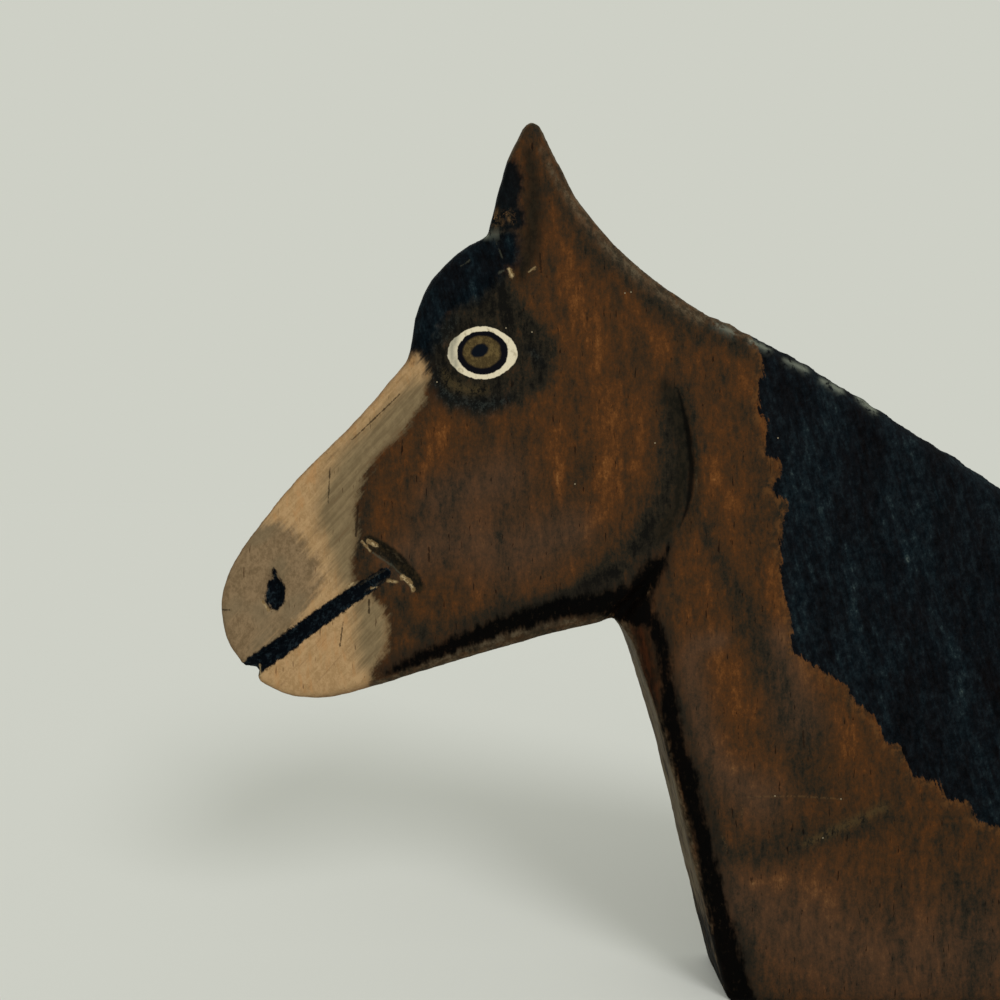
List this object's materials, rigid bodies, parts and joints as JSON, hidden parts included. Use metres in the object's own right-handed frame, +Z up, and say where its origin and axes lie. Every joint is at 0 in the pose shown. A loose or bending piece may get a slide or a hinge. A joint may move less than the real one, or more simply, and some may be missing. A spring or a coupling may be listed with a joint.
{
  "type": "carved wooden horse head bust",
  "caption": "Head and neck of a horse sawn and carved from a single board, painted, cut off flat below so that it stands as a bust.",
  "frame": {"origin": "centre of the bounding box at the level of the flat cut below the neck", "axes": "+Z up from the flat cut, -X towards the muzzle, -Y out of the painted front face, +Y out of the back face"},
  "size_m": [0.3026, 0.024, 0.2509],
  "materials": {
    "painted_wood": "hand-painted board, brown stain with navy mane, pale muzzle and painted eye, worn at the edges"
  },
  "bodies": {
    "root": {"horse_head": "painted_wood"}
  },
  "joints": []
}
